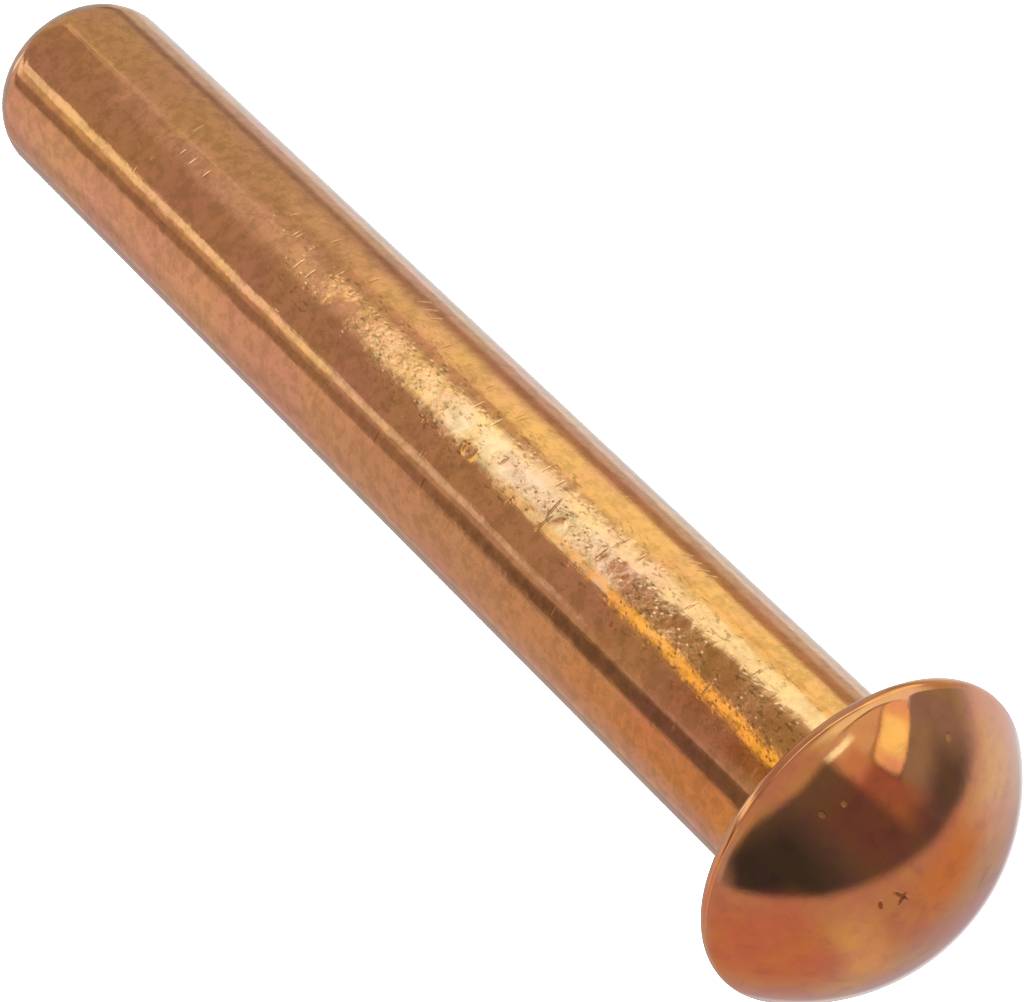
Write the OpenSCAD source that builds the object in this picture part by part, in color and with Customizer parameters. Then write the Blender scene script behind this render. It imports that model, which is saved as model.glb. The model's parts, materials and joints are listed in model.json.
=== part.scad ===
// Round head rivet: a plain round shank with a cold formed domed head, all one piece.
// The rivet stands on the flat of its shank end, with the head up. The origin is the
// centre of that flat, and +Z runs along the axis from the shank to the head.
// It is a body of revolution: the half outline is put together from straight edges
// and true arcs, and turned once round the axis.

/* [Shank] */
// Diameter of the shank
shank_d = 8; // [5:0.1:10]
// Length of the shank, from its end to the bearing face under the head
shank_l = 55; // [10:0.5:120]
// Radius of the round at the edge of the shank's end
end_r = 2; // [0.2:0.1:2.4]
// Radius of the fillet where the shank meets the bearing face
neck_r = 0.3; // [0.1:0.05:0.6]

/* [Head] */
// Diameter of the head at its rim
head_d = 13.7; // [12.5:0.1:18]
// Height of the head above its bearing face
head_h = 4.5; // [3:0.1:6]
// Radius of the round on the rim
rim_r = 0.65; // [0.5:0.05:1]
// Height of the rim's widest line above the bearing face
rim_h = 0.4; // [0.1:0.05:0.45]

/* [Hidden] */
$fn = 128;
copper = [0.72, 0.43, 0.27];

shank_r = shank_d / 2;
// Centre of the rim's round, out from the axis
rim_x = head_d / 2 - rim_r;
// The dome is the sphere that touches the top of the head and runs smoothly into the rim's round
dome_r = (pow(rim_x, 2) + pow(head_h - rim_h, 2) - pow(rim_r, 2)) / (2 * (head_h - rim_h - rim_r));
// Centre of the dome, measured up from the bearing face
dome_z = head_h - dome_r;
// Slope of the line from the dome's centre through the rim's, where the two arcs meet
meet_angle = atan2(rim_h - dome_z, rim_x);

// Upper half of a disc
module half_disc(r) {
    intersection() {
        circle(r);
        translate([-2 * r, 0]) square([4 * r, 2 * r]);
    }
}

// Half outline of the shank, with the round at its end
module shank_outline() {
    square([shank_r - end_r, end_r]);
    translate([0, end_r]) square([shank_r, shank_l - end_r]);
    intersection() {
        translate([shank_r - end_r, end_r]) circle(end_r);
        translate([shank_r - end_r, -end_r]) square(2 * end_r);
    }
}

// Half outline of the fillet under the head, with the bearing face at height 0
module neck_outline() {
    difference() {
        translate([0, -neck_r]) square([shank_r + neck_r, neck_r + rim_h]);
        translate([shank_r + neck_r, -neck_r]) circle(neck_r);
    }
}

// Outline of the dome and the rim: their arcs meet on one line from the dome's centre
module dome_and_rim() {
    translate([0, dome_z]) rotate(meet_angle) {
        half_disc(dome_r);
        translate([dome_r - rim_r, 0]) rotate(180) half_disc(rim_r);
    }
}

// Half outline of the head, with the bearing face at height 0
module head_outline() {
    intersection() {
        dome_and_rim();
        square(head_d);
    }
    square([rim_x, rim_h]);
}

module rivet() {
    color(copper)
    rotate_extrude() {
        shank_outline();
        translate([0, shank_l]) {
            neck_outline();
            head_outline();
        }
    }
}

rivet();
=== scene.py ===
"""Round head rivet: the copper's finish, the small marks of handling, and the studio round it.

Lengths are in millimetres until they reach Blender, which takes metres.
"""
import json
import math

import bpy
from mathutils import Matrix, Quaternion, Vector


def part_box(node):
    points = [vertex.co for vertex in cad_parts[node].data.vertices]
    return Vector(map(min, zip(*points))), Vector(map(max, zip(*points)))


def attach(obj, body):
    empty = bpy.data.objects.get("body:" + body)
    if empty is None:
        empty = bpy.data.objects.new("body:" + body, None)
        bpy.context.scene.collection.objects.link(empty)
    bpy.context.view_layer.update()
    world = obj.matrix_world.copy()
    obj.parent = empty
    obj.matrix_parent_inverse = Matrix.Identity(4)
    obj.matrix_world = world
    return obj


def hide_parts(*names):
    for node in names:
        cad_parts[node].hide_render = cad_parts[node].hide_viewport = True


MM = 0.001

# The camera looks down on the standing rivet, rolled so that the head is at the lower right as in the
# photograph: its place and the point it faces, its roll in degrees, its lens and sensor in millimetres,
# and the nearest that it sees, in metres.
CAMERA_AT = (0.0, -135.34, 141.48)
CAMERA_AIM = (-0.02, 0.0, 33.56)
CAMERA_ROLL = -134.15
CAMERA_LENS = 160.91
CAMERA_SENSOR = 36.0
CAMERA_NEAR = 0.01

# Sizes that the frame doesn't state.
END_ROUND = 2.0
NECK_FILLET = 0.3
RIM_ROUND = 0.65
RIM_HEIGHT = 0.4

# Fineness of the turned mesh: its segments round the axis, the spacing of its rings along each straight
# stretch, and the number of rings on each arc.
SEGMENTS = 200
END_STEP, SHANK_STEP, BEARING_STEP = 0.3, 0.17, 0.4
END_RINGS, NECK_RINGS, RIM_RINGS, DOME_RINGS = 18, 5, 12, 56


class Graph:
    """Short calls that make and link shader nodes."""

    def __init__(self, tree):
        self.tree = tree
        tree.nodes.clear()

    def node(self, kind, inputs=None, **settings):
        """A node, with its settings and with its inputs set to values or linked to sockets."""
        made = self.tree.nodes.new("ShaderNode" + kind)
        for name, value in settings.items():
            setattr(made, name, value)
        for key, value in (inputs or {}).items():
            self.put(made.inputs[key], value)
        return made

    def put(self, socket, value):
        if isinstance(value, bpy.types.NodeSocket):
            self.tree.links.new(value, socket)
        elif isinstance(value, tuple) and len(value) == 3 and socket.type == "RGBA":
            socket.default_value = (*value, 1.0)
        else:
            socket.default_value = value

    def math(self, operation, *values):
        return self.node("Math", dict(enumerate(values)), operation=operation).outputs[0]

    def add(self, first, second):
        return self.math("ADD", first, second)

    def times(self, first, second):
        return self.math("MULTIPLY", first, second)

    def vector(self, operation, *values):
        return self.node("VectorMath", dict(enumerate(values)), operation=operation).outputs[0]

    def stretch(self, where, scales):
        return self.vector("MULTIPLY", where, scales)

    def dot(self, first, second):
        return self.node("VectorMath", {0: first, 1: second}, operation="DOT_PRODUCT").outputs["Value"]

    def ramp(self, value, low, high, out_low=0.0, out_high=1.0):
        """value carried smoothly from low..high to out_low..out_high, and held beyond them."""
        inputs = {0: value, 1: low, 2: high, 3: out_low, 4: out_high}
        return self.node("MapRange", inputs, interpolation_type="SMOOTHSTEP").outputs[0]

    def mix(self, factor, first, second):
        """Two colours mixed."""
        inputs = {0: factor, 6: first, 7: second}
        return self.node("Mix", inputs, data_type="RGBA").outputs[2]

    def blend(self, factor, first, second):
        """Two shaders mixed. Where the factor is 0 or 1, one of them isn't worked out."""
        return self.node("MixShader", {0: factor, 1: first, 2: second}).outputs[0]

    def noise(self, where, scale, detail, roughness=0.5, distortion=0.0):
        inputs = {"Vector": where, "Scale": scale, "Detail": detail,
                  "Roughness": roughness, "Distortion": distortion}
        return self.node("TexNoise", inputs).outputs[0]

    def patches(self, where, noise, span, low=0.0, high=1.0):
        """low to high, in patches where a noise runs through its span."""
        return self.ramp(self.noise(where, *noise), *span, low, high)


# ---------------------------------------------------------------- the rivet's form

def arc(cx, cz, radius, start, end, count):
    """Points (r, z) along an arc in the half section, without its first point."""
    turns = [math.radians(start + (end - start) * i / count) for i in range(1, count + 1)]
    return [(cx + radius * math.cos(t), cz + radius * math.sin(t)) for t in turns]


def line(start, end, step):
    """Points (r, z) along a straight stretch, without its first point."""
    count = max(1, round(math.dist(start, end) / step))
    return [tuple(a + (b - a) * i / count for a, b in zip(start, end)) for i in range(1, count + 1)]


def half_section(size):
    """The outline of half the rivet, from the middle of its end to the top of its head."""
    shank_r, shank_l, head_r, head_h = size["shank_r"], size["shank_l"], size["head_r"], size["head_h"]
    rim_x, rim_z = head_r - RIM_ROUND, shank_l + RIM_HEIGHT
    rise = head_h - RIM_HEIGHT
    dome_r = (rim_x ** 2 + rise ** 2 - RIM_ROUND ** 2) / (2 * (rise - RIM_ROUND))
    dome_z = shank_l + head_h - dome_r
    meet = math.degrees(math.atan2(rim_z - dome_z, rim_x))
    under = math.degrees(math.asin(RIM_HEIGHT / RIM_ROUND))
    bearing_r = rim_x + RIM_ROUND * math.cos(math.radians(under))
    flat_r = shank_r - END_ROUND
    neck_z = shank_l - NECK_FILLET

    points = [(0.0, 0.0)]
    points += line((0.0, 0.0), (flat_r, 0.0), END_STEP)
    points += arc(flat_r, END_ROUND, END_ROUND, -90, 0, END_RINGS)
    points += line((shank_r, END_ROUND), (shank_r, neck_z), SHANK_STEP)
    points += arc(shank_r + NECK_FILLET, neck_z, NECK_FILLET, 180, 90, NECK_RINGS)
    points += line((shank_r + NECK_FILLET, shank_l), (bearing_r, shank_l), BEARING_STEP)
    points += arc(rim_x, rim_z, RIM_ROUND, -under, meet, RIM_RINGS)
    points += arc(0.0, dome_z, dome_r, meet, 90, DOME_RINGS)
    return points


def turned_mesh(name, points):
    """A closed surface made by turning the half section round Z."""
    vertices = []
    faces = []
    rings = points[1:-1]
    for r, z in rings:
        for i in range(SEGMENTS):
            a = 2 * math.pi * i / SEGMENTS
            vertices.append((r * math.cos(a) * MM, r * math.sin(a) * MM, z * MM))
    for ring in range(len(rings) - 1):
        for i in range(SEGMENTS):
            j = (i + 1) % SEGMENTS
            low, high = ring * SEGMENTS, (ring + 1) * SEGMENTS
            faces.append((low + i, low + j, high + j, high + i))
    foot, top = len(vertices), len(vertices) + 1
    vertices += [(0.0, 0.0, points[0][1] * MM), (0.0, 0.0, points[-1][1] * MM)]
    last = (len(rings) - 1) * SEGMENTS
    for i in range(SEGMENTS):
        j = (i + 1) % SEGMENTS
        faces += [(foot, j, i), (top, last + i, last + j)]
    mesh = bpy.data.meshes.new(name)
    mesh.from_pydata(vertices, [], faces)
    mesh.polygons.foreach_set("use_smooth", [True] * len(mesh.polygons))
    mesh.update()
    return mesh


def make_rivet(frame):
    """The rivet's own surface, in place of the plain CAD solid."""
    low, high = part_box("rivet")
    mounts = {m["name"]: m for m in frame["record"]["mounts"]}
    shank_l = mounts["bearing_face"]["pos_m"][2] / MM
    size = {
        "shank_r": mounts["shank"]["dims"]["r_mm"],
        "shank_l": shank_l,
        "head_r": high[0] / MM,
        "head_h": high[2] / MM - shank_l,
    }
    rivet = bpy.data.objects.new("rivet_metal", turned_mesh("rivet_metal", half_section(size)))
    bpy.context.scene.collection.objects.link(rivet)
    rivet.data.materials.append(copper_material(size))
    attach(rivet, "root")
    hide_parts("rivet")


# ---------------------------------------------------------------- the copper

# Copper's own colours: the drawn shank runs from gold to pink, the headed end is redder, and both
# darken where they have tarnished. The specks' dark colour is grime, and painted shade on the rubbed
# side.
SHANK_GOLD = (0.92, 0.425, 0.175)
SHANK_PINK = (0.90, 0.385, 0.205)
HEAD_ORANGE = (0.92, 0.385, 0.140)
HEAD_RED = (0.89, 0.325, 0.170)
TARNISH = (0.55, 0.26, 0.10)
GRIME_AND_PIT_SHADE = (0.36, 0.18, 0.07)
CUT_RED = (0.45, 0.14, 0.07)

# How far the stains and the mottle darken the copper, the specks the shank off and on its rubbed side,
# and the cuts the head. Off the rubbed side the specks are grime; on it they are mostly painted shade.
STAINED, SHANK_MOTTLED, HEAD_MOTTLED = 0.45, 0.55, 0.14
SPECKED, SHADE_SPECKED_RUBBED = 0.12, 0.75
CUT_SHOWN = 0.9

# Roughness of the polished surface and where it is worn, and how worn the shank's worn patches are.
POLISHED, SCUFFED = 0.06, 0.10
WORN = 0.6

# Relief of the surface, in millimetres of height. The head keeps a share of the fine relief, and the
# grain keeps a share of its depth where nothing is worn.
SWELL, PEEL, GRAIN, DRAWING = 0.025, 0.0018, 0.0046, 0.0022
HEAD_SHARE, UNWORN_SHARE = 0.35, 0.3

# Noises: cells per millimetre, finer layers, and their roughness and distortion where they are set.
# Beside each that makes patches is the span of its values in which a patch fades in.
TINT_NOISE, TINT_SPAN = (0.25, 2.0), (0.38, 0.62)
BLOTCH_NOISE, BLOTCH_SPAN = (0.55, 3.0, 0.6), (0.40, 0.60)
STAIN_NOISE, STAIN_SPAN = (1.1, 4.0, 0.65, 0.5), (0.48, 0.72)
MOTTLE_NOISE, MOTTLE_SPAN = (1.7, 4.0, 0.7), (0.42, 0.62)
SPECK_NOISE, SPECK_SPAN = (4.5, 2.0), (0.56, 0.66)
WEAR_NOISE, WEAR_SPAN = (0.9, 2.0, 0.6), (0.42, 0.70)
RUBBED_NOISE, RUBBED_SPAN = (0.7, 2.0), (0.36, 0.56)
SWELL_NOISE = (0.3, 1.0)
PEEL_NOISE = (1.6, 2.0)
GRAIN_NOISE = (4.0, 2.0)
DRAWING_NOISE = (6.0, 2.0)
# How the specks, the grain and the drawing lines are stretched along the rivet: scales of X, Y and Z.
PULLED, DRAWN = (1.4, 1.4, 0.6), (1.0, 1.0, 0.03)

# Random nicks over the whole shank and dents on its rubbed side: their depth in millimetres, the share
# of cells that has one, and the cells per millimetre round the shank and along it.
NICK, NICK_SHARE, NICK_CELLS = 0.0022, 0.03, (1.1, 5.2, 0.0)
DENT, DENT_SHARE, DENT_CELLS = 0.0022, 0.25, (5.6, 2.4, 0.0)
# A dent's edge and its bottom, as distances from the middle of its cell.
DENT_EDGE, DENT_BOTTOM = 0.40, 0.05

# Half the height over which the shank's finish gives way to the head's, in millimetres.
SEAM = 0.2

# The side that rubbed against other rivets: its middle as a turn from the camera's side towards +X,
# its half width and the softness of its edge, all in degrees, and the heights where it fades in.
RUBBED_TURN, RUBBED_HALF, RUBBED_SOFT = -14.0, 20.0, 12.0
RUBBED_FROM, RUBBED_FULL = 12.0, 27.0

# Marks of handling, each with its middle, half length, half width, the turn of its length and its
# depth, in millimetres and degrees. On the shank a middle is a turn from the camera's side towards
# +X and a height, and the length turns up from level; on the head a middle is x and y, and the length
# turns from +X. A mark with a depth below 0 stands proud.
SHANK_MARKS = [
    ("long_scratch", (-19, 9), 7.0, 0.05, 90, 0.006),
    ("crater_rim", (-4, 33.6), 0.55, 0.55, 0, -0.005),
    ("crater", (-4, 33.6), 0.38, 0.38, 0, 0.012),
    ("cross_1", (-13, 38.3), 0.55, 0.07, 14, 0.005),
    ("cross_2", (-4, 38.5), 0.50, 0.07, -10, 0.005),
    ("nick_1", (-53, 25.6), 0.38, 0.08, -12, 0.012),
    ("nick_2", (-51, 26.2), 0.38, 0.08, -12, 0.012),
    ("nick_3", (-49, 26.8), 0.30, 0.08, -12, 0.012),
    ("nick_4", (-49, 43.2), 0.28, 0.07, -25, 0.012),
    ("nick_5", (-49, 43.7), 0.28, 0.07, -25, 0.012),
    ("nick_6", (-49, 44.2), 0.28, 0.07, -25, 0.012),
    ("nick_7", (-50, 44.6), 0.28, 0.07, -25, 0.012),
    ("scratch_1", (-30, 11.4), 0.35, 0.08, 8, 0.012),
    ("scratch_2", (-33, 18.4), 0.22, 0.08, -20, 0.012),
    ("speck", (2, 11.2), 0.14, 0.12, 0, 0.012),
]
HEAD_MARKS = [
    ("cut_1", (0.38, -2.0), 0.50, 0.10, 104, 0.022),
    ("cut_2", (0.42, -1.9), 0.38, 0.10, 20, 0.022),
    ("cut_3", (1.10, -2.3), 0.24, 0.13, 60, 0.022),
    ("pit_1", (0.3, -5.7), 0.15, 0.15, 0, 0.010),
    ("pit_2", (-0.5, -5.5), 0.13, 0.13, 0, 0.010),
    ("pit_3", (-4.6, -3.4), 0.15, 0.12, 0, 0.010),
]
# The depths between which a mark turns rough, and those between which one on the head shows dark red.
TORN, TORN_ROUGH = (0.003, 0.009), 0.40
CUT_DEPTHS = (0.013, 0.018)


def marks(g, point, listed):
    """The depths of the listed marks together, for a point on the surface laid out flat."""
    total = 0.0
    for _, middle, length, width, slant, depth in listed:
        cosine, sine = math.cos(math.radians(slant)), math.sin(math.radians(slant))
        offset = g.vector("SUBTRACT", point, (*middle, 0.0))
        along = g.dot(offset, (cosine / length, sine / length, 0.0))
        across = g.dot(offset, (-sine / width, cosine / width, 0.0))
        reach = g.add(g.times(along, along), g.times(across, across))
        total = g.add(total, g.ramp(reach, 1.0, 0.0, 0.0, depth))
    return total


def unrolled(g, place, shank_r):
    """The shank's surface laid out flat: millimetres round it from the camera's side, and height."""
    parts = g.node("SeparateXYZ", {0: place}).outputs
    turn = g.math("ARCTAN2", parts[0], g.times(parts[1], -1.0))
    return g.node("CombineXYZ", {0: g.times(turn, shank_r), 1: parts[2]}).outputs[0]


def unrolled_marks(shank_r):
    """The shank's marks with their middles as places on the surface laid out flat."""
    return [(name, (math.radians(turn) * shank_r, height), *rest)
            for name, (turn, height), *rest in SHANK_MARKS]


def rubbed_side(g, place, height, shank_r):
    """1 in the rubbed patches on one side of the shank, and 0 round the rest of it."""
    turn = math.radians(RUBBED_TURN)
    facing = g.dot(place, (math.sin(turn) / shank_r, -math.cos(turn) / shank_r, 0.0))
    edge = [math.cos(math.radians(RUBBED_HALF + side * RUBBED_SOFT)) for side in (1, -1)]
    whole = g.times(g.ramp(facing, *edge), g.ramp(height, RUBBED_FROM, RUBBED_FULL))
    return g.times(whole, g.patches(place, RUBBED_NOISE, RUBBED_SPAN))


def dents(g, flat, cells_per_mm, share):
    """1 in the middle of small dents and 0 between them; share is how many cells have one."""
    inputs = {"Vector": g.stretch(flat, cells_per_mm), "Scale": 1.0}
    cells = g.node("TexVoronoi", inputs, voronoi_dimensions="2D").outputs
    dent = g.ramp(cells["Distance"], DENT_EDGE, DENT_BOTTOM)
    chance = g.node("SeparateColor", {0: cells["Color"]}).outputs[0]
    return g.times(dent, g.math("LESS_THAN", chance, share))


def tarnished(g, place, colour, mottled):
    """A colour darkened in a few stains, and in a mottle of the given strength."""
    stains = g.patches(place, STAIN_NOISE, STAIN_SPAN, 0.0, STAINED)
    mottle = g.patches(place, MOTTLE_NOISE, MOTTLE_SPAN, 0.0, mottled)
    return g.mix(g.math("MAXIMUM", stains, mottle), colour, TARNISH)


def swell(g, place):
    """The broad unevenness of the surface."""
    return g.times(g.noise(place, *SWELL_NOISE), SWELL)


def fine_relief(g, place, grain_depth):
    """The fine unevenness of the surface."""
    peel = g.times(g.noise(place, *PEEL_NOISE), PEEL)
    grain = g.times(g.noise(g.stretch(place, PULLED), *GRAIN_NOISE), grain_depth)
    drawing = g.times(g.noise(g.stretch(place, DRAWN), *DRAWING_NOISE), DRAWING)
    return g.add(g.add(peel, grain), drawing)


def bright_copper(g, colour, roughness, relief):
    """Bare metal with a colour, a roughness, and a relief in millimetres."""
    bump = g.node("Bump", {"Height": relief, "Distance": MM, "Strength": 1.0})
    return g.node("BsdfPrincipled", {
        "Base Color": colour,
        "Metallic": 1.0,
        "Roughness": roughness,
        "Normal": bump.outputs[0],
    }).outputs[0]


def shank_finish(g, place, height, shank_r):
    """The drawn shank: gold to pink, mottled, rubbed on one side, nicked and scratched."""
    flat = unrolled(g, place, shank_r)
    rubbed = rubbed_side(g, place, height, shank_r)
    wear = g.math("MAXIMUM", g.patches(place, WEAR_NOISE, WEAR_SPAN, 0.0, WORN), rubbed)
    marked = marks(g, flat, unrolled_marks(shank_r))

    tint = g.mix(g.patches(place, TINT_NOISE, TINT_SPAN), SHANK_GOLD, SHANK_PINK)
    colour = tarnished(g, place, tint, SHANK_MOTTLED)
    # Dark specks: grime over the whole shank, and on the rubbed side, where the bright reflection lies,
    # painted shade of small pits.
    specks = g.patches(g.stretch(place, PULLED), SPECK_NOISE, SPECK_SPAN)
    specks = g.times(specks, g.ramp(rubbed, 0.0, 1.0, SPECKED, SHADE_SPECKED_RUBBED))
    colour = g.mix(specks, colour, GRIME_AND_PIT_SHADE)

    roughness = g.ramp(wear, 0.0, 1.0, POLISHED, SCUFFED)
    roughness = g.ramp(marked, *TORN, roughness, TORN_ROUGH)

    grain_depth = g.ramp(wear, 0.0, 1.0, UNWORN_SHARE * GRAIN, GRAIN)
    relief = g.add(swell(g, place), fine_relief(g, place, grain_depth))
    nicked = g.times(dents(g, flat, NICK_CELLS, NICK_SHARE), NICK)
    dented = g.times(dents(g, flat, DENT_CELLS, g.ramp(rubbed, 0.0, 1.0, 0.0, DENT_SHARE)), DENT)
    for depth in (nicked, dented, marked):
        relief = g.math("SUBTRACT", relief, depth)
    return bright_copper(g, colour, roughness, relief)


def head_finish(g, place):
    """The head: orange to red, smoother than the shank, with its cuts and pits."""
    marked = marks(g, g.stretch(place, (1.0, 1.0, 0.0)), HEAD_MARKS)
    tint = g.mix(g.patches(place, BLOTCH_NOISE, BLOTCH_SPAN), HEAD_ORANGE, HEAD_RED)
    colour = tarnished(g, place, tint, HEAD_MOTTLED)
    colour = g.mix(g.ramp(marked, *CUT_DEPTHS, 0.0, CUT_SHOWN), colour, CUT_RED)
    roughness = g.ramp(marked, *TORN, POLISHED, TORN_ROUGH)
    fine = fine_relief(g, place, UNWORN_SHARE * GRAIN)
    relief = g.add(swell(g, place), g.times(fine, HEAD_SHARE))
    return bright_copper(g, colour, roughness, g.math("SUBTRACT", relief, marked))


def copper_material(size):
    """Bright copper: drawn along the shank, headed, handled, and just starting to tarnish."""
    material = bpy.data.materials.new("copper")
    material.use_nodes = True
    g = Graph(material.node_tree)
    metres = g.node("TexCoord").outputs["Object"]
    place = g.node("VectorMath", {0: metres, "Scale": 1 / MM}, operation="SCALE").outputs[0]
    height = g.node("SeparateXYZ", {0: place}).outputs[2]
    head = g.ramp(height, size["shank_l"] - SEAM, size["shank_l"] + SEAM)
    shank = shank_finish(g, place, height, size["shank_r"])
    g.node("OutputMaterial", {"Surface": g.blend(head, shank, head_finish(g, place))})
    return material


# ---------------------------------------------------------------- the studio

# What the metal mirrors is two stacks of soft edged patches of light and shade, each patch laid over
# those before it. A patch has its middle, its half width and half height, the softness of its edge
# as a share of its size, and its red, green and blue light. Two optional numbers slant it: how much
# its middle shifts across for each degree up, and up for each degree across. Places and sizes were set
# one by one. The light values weren't: most follow a program that compared the photograph with a
# render.

# Below the horizon, for the shank: degrees of azimuth, from the camera's side towards +X, and of
# elevation above the horizon.
BASE_BELOW = (0.69, 0.66, 0.68)
PATCHES_BELOW = [
    ("salmon_mid", (96, -35), (40, 6.5), 0.30, (0.56, 0.53, 0.54)),
    ("salmon_top", (92, -32.5), (38, 4.0), 0.50, (0.62, 0.47, 0.30)),
    ("right_dim", (126, -50), (16, 60), 0.60, (0.55, 0.49, 0.48)),
    ("left_grey", (-128, -50), (20, 60), 0.20, (0.62, 0.66, 0.65)),
    ("pale_back", (182, -50), (42, 60), 0.15, (0.75, 0.87, 0.95)),
    ("back_edge", (-154, -50), (5, 60), 0.60, (0.74, 0.84, 0.87)),
    ("back_ridge", (-139, -38), (5, 6), 0.50, (0.82, 1.02, 1.15)),
    ("right_line", (160, -50), (20, 60), 0.20, (0.45, 0.44, 0.45)),
    ("olive", (-74, -60), (38, 60), 0.10, (0.52, 0.53, 0.45)),
    ("brown", (4, -60), (42, 60), 0.08, (0.42, 0.38, 0.355)),
    ("brown_mid", (16, -36.5), (18, 3.0), 0.40, (0.42, 0.38, 0.34)),
    ("brown_top", (16, -33), (18, 2.2), 0.40, (0.33, 0.22, 0.12)),
    ("gold", (-79, -31.5), (22, 10), 0.30, (1.06, 1.22, 0.84)),
    ("gold_line", (-76, -34), (2.0, 3.0), 0.60, (0.95, 1.00, 0.60)),
    ("gap", (-60, -40.2), (4, 2.0), 0.50, (0.65, 0.60, 0.50)),
    ("left_line_top", (-108, -32), (8, 10), 0.40, (0.56, 0.46, 0.35)),
    ("left_line", (-111, -70), (7, 28), 0.50, (0.24, 0.22, 0.22)),
    ("haze", (-31, -42.7), (16, 2.1), 0.70, (0.64, 0.64, 0.68)),
    ("faint_line", (-40, -46.5), (2.5, 4), 0.60, (0.70, 0.73, 0.69)),
    ("halo", (-30, -40.2), (19, 1.1), 0.35, (1.30, 1.55, 0.80)),
    ("cream", (-27, -38.6), (21, 1.6), 0.30, (1.25, 2.00, 2.60)),
    ("fork_tip", (-23, -36.7), (10, 0.9), 0.60, (0.60, 0.48, 0.30)),
    ("fork", (-23, -33.9), (17, 2.5), 0.35, (0.37, 0.33, 0.20)),
    ("cream_arm", (-53, -35.6), (11, 3.0), 0.25, (1.30, 1.80, 1.88), -2.8),
    ("cream_side", (-6, -37.8), (7, 1.1), 0.45, (1.00, 1.35, 1.30)),
    ("gold_arm", (1, -34.9), (6, 2.4), 0.30, (1.36, 1.20, 0.30), 3.4),
    ("streak", (54, -45), (7, 14), 0.40, (0.35, 0.31, 0.28)),
    ("streak_top", (57, -34.5), (10, 4.5), 0.40, (0.19, 0.16, 0.15)),
    ("strip_faint", (37, -35.5), (2.2, 3.5), 0.60, (0.42, 0.34, 0.28)),
    ("strip_gold", (42, -46), (7, 5), 0.25, (0.55, 0.50, 0.39)),
    ("strip_pink", (38, -40), (3.6, 2.5), 0.60, (0.74, 0.84, 0.98), 0.5),
    ("strip", (34, -46.5), (5, 6), 0.25, (1.03, 1.22, 1.12), 1.0),
    ("strip_turn", (43, -59), (8, 11), 0.35, (1.08, 1.30, 1.20)),
    ("end_grey", (180, -76), (100, 23), 0.10, (0.48, 0.58, 0.62)),
    ("strip_end", (74, -75), (26, 4), 0.50, (1.15, 1.50, 1.60)),
]

# Above the horizon, for the head: degrees from the zenith, towards +X and towards the camera.
BASE_ABOVE = (0.50, 0.44, 0.39)
PATCHES_ABOVE = [
    ("left_glow", (-82, 45), (50, 48), 0.35, (0.92, 1.16, 1.10)),
    ("right_side", (95, 10), (34, 60), 0.4, (0.46, 0.48, 0.62)),
    ("dark_room", (10, -22), (67, 73), 0.04, (0.15, 0.15, 0.17), -0.35),
    ("dark_left", (-56, -16), (28, 28), 0.05, (0.31, 0.345, 0.37)),
    ("dark_corner", (-40, -20), (17, 14), 0.7, (0.12, 0.13, 0.16)),
    ("dim_red", (-10, 12), (18, 26), 0.6, (0.15, 0.11, 0.135)),
    ("red_brown", (-27, 20), (8, 24), 0.6, (0.35, 0.22, 0.18)),
    ("near_black", (42, 20), (26, 26), 0.6, (0.048, 0.062, 0.088)),
    ("orange_back", (0, -85), (400, 70), 0.07, (0.50, 0.42, 0.41), 0, 0.44),
    ("salmon", (-56, -80), (32, 38), 0.5, (0.73, 0.90, 1.06)),
    ("grey_back", (4, -86), (34, 22), 0.7, (0.48, 0.54, 0.66)),
    ("orange_mid", (-16, -44), (16, 14), 0.7, (0.56, 0.38, 0.28)),
    ("olive_back", (27, -52), (8, 28), 0.7, (0.64, 0.64, 0.50)),
    ("deep_orange", (62, -34), (22, 34), 0.5, (0.54, 0.35, 0.29)),
    ("pale_back", (0, -140), (150, 34), 0.25, (0.95, 1.10, 1.20)),
    ("window_glow", (-46, 38), (24, 10), 0.3, (0.70, 0.66, 0.62), 0, 0.3),
    ("window_pink", (-28, 36), (7, 7), 0.6, (0.60, 0.43, 0.38)),
    ("window_gap", (-50, 29.5), (14, 1.2), 0.6, (0.45, 0.38, 0.33)),
    ("window_orange", (-53, 20.5), (18, 8.5), 0.10, (0.90, 0.82, 0.64)),
    ("window", (-51, 20.5), (9, 7.5), 0.30, (1.10, 1.28, 0.82)),
    ("spark", (-29, 47), (9, 1.8), 0.5, (1.18, 1.85, 1.95), 0, 0.3),
]
# The head's stack takes over from the shank's between these elevations, in degrees.
HANDOVER = (-27.0, -17.0)
# What the camera sees of the world itself.
BACKDROP = (1.0, 1.0, 1.0)

# Offsets in degrees are carried into this range, so that a patch reaches across the back.
WRAP_LOW, WRAP_HIGH = (-180.0, -180.0, -180.0), (180.0, 180.0, 180.0)
# The power that rounds a patch's outline: near an ellipse for the shank's, near a box for the head's.
ROUND_POWER, BOXY_POWER = 3, 6

# The floor, in metres and as the share of light that it throws back.
FLOOR_HALF = 0.6
FLOOR_WHITE = (0.9, 0.9, 0.9)

# The lamp over the floor: its place, the point it faces and its width in metres, and its watts.
LAMP_AT = (0.0, -0.75, 0.75)
LAMP_AIM = (0.0, 0.0, 0.02)
LAMP_WIDTH = 0.5
LAMP_WATTS = 60


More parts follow.
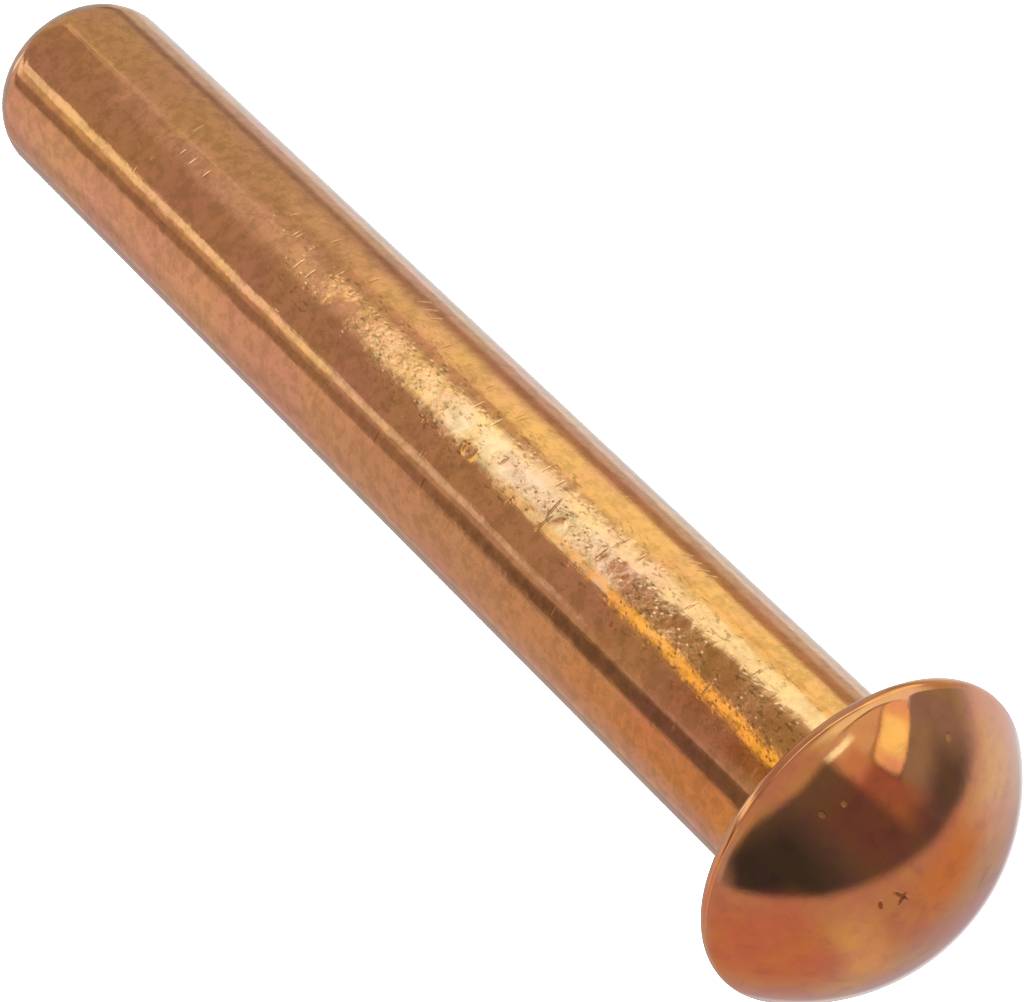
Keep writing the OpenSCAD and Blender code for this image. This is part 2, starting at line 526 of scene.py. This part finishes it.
def patch_mask(g, point, boxy, middle, half, softness, lean=0, tilt=0):
    """1 inside a patch and 0 outside it, with its soft edge between."""
    offset = g.vector("WRAP", g.vector("SUBTRACT", point, (*middle, 0.0)), WRAP_HIGH, WRAP_LOW)
    if lean or tilt:
        across = g.dot(offset, (1 / half[0], -lean / half[0], 0.0))
        up = g.dot(offset, (-tilt / half[1], 1 / half[1], 0.0))
        share = g.node("CombineXYZ", {0: across, 1: up}).outputs[0]
    else:
        share = g.stretch(offset, (1 / half[0], 1 / half[1], 0.0))
    # The part is cubed below, which makes the share's power 6 or 3.
    part = g.vector("MULTIPLY", share, share) if boxy else g.vector("ABSOLUTE", share)
    summed = g.dot(g.vector("MULTIPLY", part, part), part)
    reach = g.math("POWER", summed, 1 / (BOXY_POWER if boxy else ROUND_POWER))
    return g.ramp(reach, 1 + softness, 1 - softness)


def patch_stack(g, base, patches, boxy, across, up):
    """The light that a stack of patches gives."""
    light = g.node("RGB").outputs[0]
    light.default_value = (*base, 1.0)
    point = g.node("CombineXYZ", {0: across, 1: up}).outputs[0]
    for _, middle, half, softness, colour, *slants in patches:
        light = g.mix(patch_mask(g, point, boxy, middle, half, softness, *slants), light, colour)
    return light


def make_world():
    """White for the camera; for the metal, the lights and dark gaps of a small studio."""
    world = bpy.data.worlds.new("studio")
    bpy.context.scene.world = world
    world.use_nodes = True
    world.cycles_visibility.diffuse = False
    world.cycles.sampling_method = "NONE"
    g = Graph(world.node_tree)
    axes = g.node("SeparateXYZ", {0: g.node("TexCoord").outputs["Generated"]}).outputs
    turn = g.math("ARCTAN2", axes[0], g.times(axes[1], -1.0))
    azimuth = g.math("DEGREES", turn)
    elevation = g.math("DEGREES", g.math("ARCSINE", axes[2]))
    zenith = g.math("SUBTRACT", 90.0, elevation)
    east = g.times(zenith, g.math("SINE", turn))
    front = g.times(zenith, g.math("COSINE", turn))
    below = patch_stack(g, BASE_BELOW, PATCHES_BELOW, False, azimuth, elevation)
    above = patch_stack(g, BASE_ABOVE, PATCHES_ABOVE, True, east, front)
    colours = (below, above, BACKDROP)
    shank_light, head_light, plain = [g.node("Background", {"Color": c}).outputs[0] for c in colours]
    mirrored = g.blend(g.ramp(elevation, *HANDOVER), shank_light, head_light)
    seen = g.node("LightPath").outputs["Is Camera Ray"]
    g.node("OutputWorld", {"Surface": g.blend(seen, mirrored, plain)})


def make_floor():
    """A plain pale floor, which the rivet stands on."""
    half = FLOOR_HALF
    corners = [(-half, -half, 0), (half, -half, 0), (half, half, 0), (-half, half, 0)]
    mesh = bpy.data.meshes.new("floor")
    mesh.from_pydata(corners, [], [(0, 1, 2, 3)])
    floor = bpy.data.objects.new("floor", mesh)
    bpy.context.scene.collection.objects.link(floor)
    material = bpy.data.materials.new("floor_paper")
    material.use_nodes = True
    g = Graph(material.node_tree)
    shader = g.node("BsdfDiffuse", {"Color": FLOOR_WHITE})
    g.node("OutputMaterial", {"Surface": shader.outputs[0]})
    mesh.materials.append(material)
    floor.visible_glossy = False


def make_lamp():
    """A round soft lamp for the floor, which the metal doesn't mirror."""
    data = bpy.data.lights.new("soft_box", "AREA")
    data.shape = "DISK"
    data.size = LAMP_WIDTH
    data.energy = LAMP_WATTS
    lamp = bpy.data.objects.new("soft_box", data)
    bpy.context.scene.collection.objects.link(lamp)
    lamp.location = LAMP_AT
    lamp.rotation_euler = (Vector(LAMP_AIM) - Vector(LAMP_AT)).to_track_quat("-Z", "Y").to_euler()
    lamp.visible_glossy = False


def make_camera():
    """The photograph's view of the standing rivet."""
    data = bpy.data.cameras.new("camera")
    data.lens = CAMERA_LENS
    data.sensor_width = CAMERA_SENSOR
    data.clip_start = CAMERA_NEAR
    camera = bpy.data.objects.new("camera", data)
    bpy.context.scene.collection.objects.link(camera)
    at = Vector(CAMERA_AT) * MM
    aim = Vector(CAMERA_AIM) * MM
    facing = (aim - at).to_track_quat("-Z", "Y")
    roll = Quaternion((0, 0, 1), -math.radians(CAMERA_ROLL))
    camera.matrix_world = Matrix.Translation(at) @ (facing @ roll).to_matrix().to_4x4()
    bpy.context.scene.camera = camera


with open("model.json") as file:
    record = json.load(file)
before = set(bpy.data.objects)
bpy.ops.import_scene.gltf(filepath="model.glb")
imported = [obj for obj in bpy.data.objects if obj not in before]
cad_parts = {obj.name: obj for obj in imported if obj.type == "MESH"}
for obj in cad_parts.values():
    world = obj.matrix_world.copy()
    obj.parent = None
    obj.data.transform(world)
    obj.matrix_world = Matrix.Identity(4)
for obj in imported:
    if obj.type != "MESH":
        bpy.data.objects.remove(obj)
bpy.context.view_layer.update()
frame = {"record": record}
bpy.context.scene.view_settings.view_transform = "Standard"
make_camera()
make_world()
make_floor()
make_lamp()
make_rivet(frame)
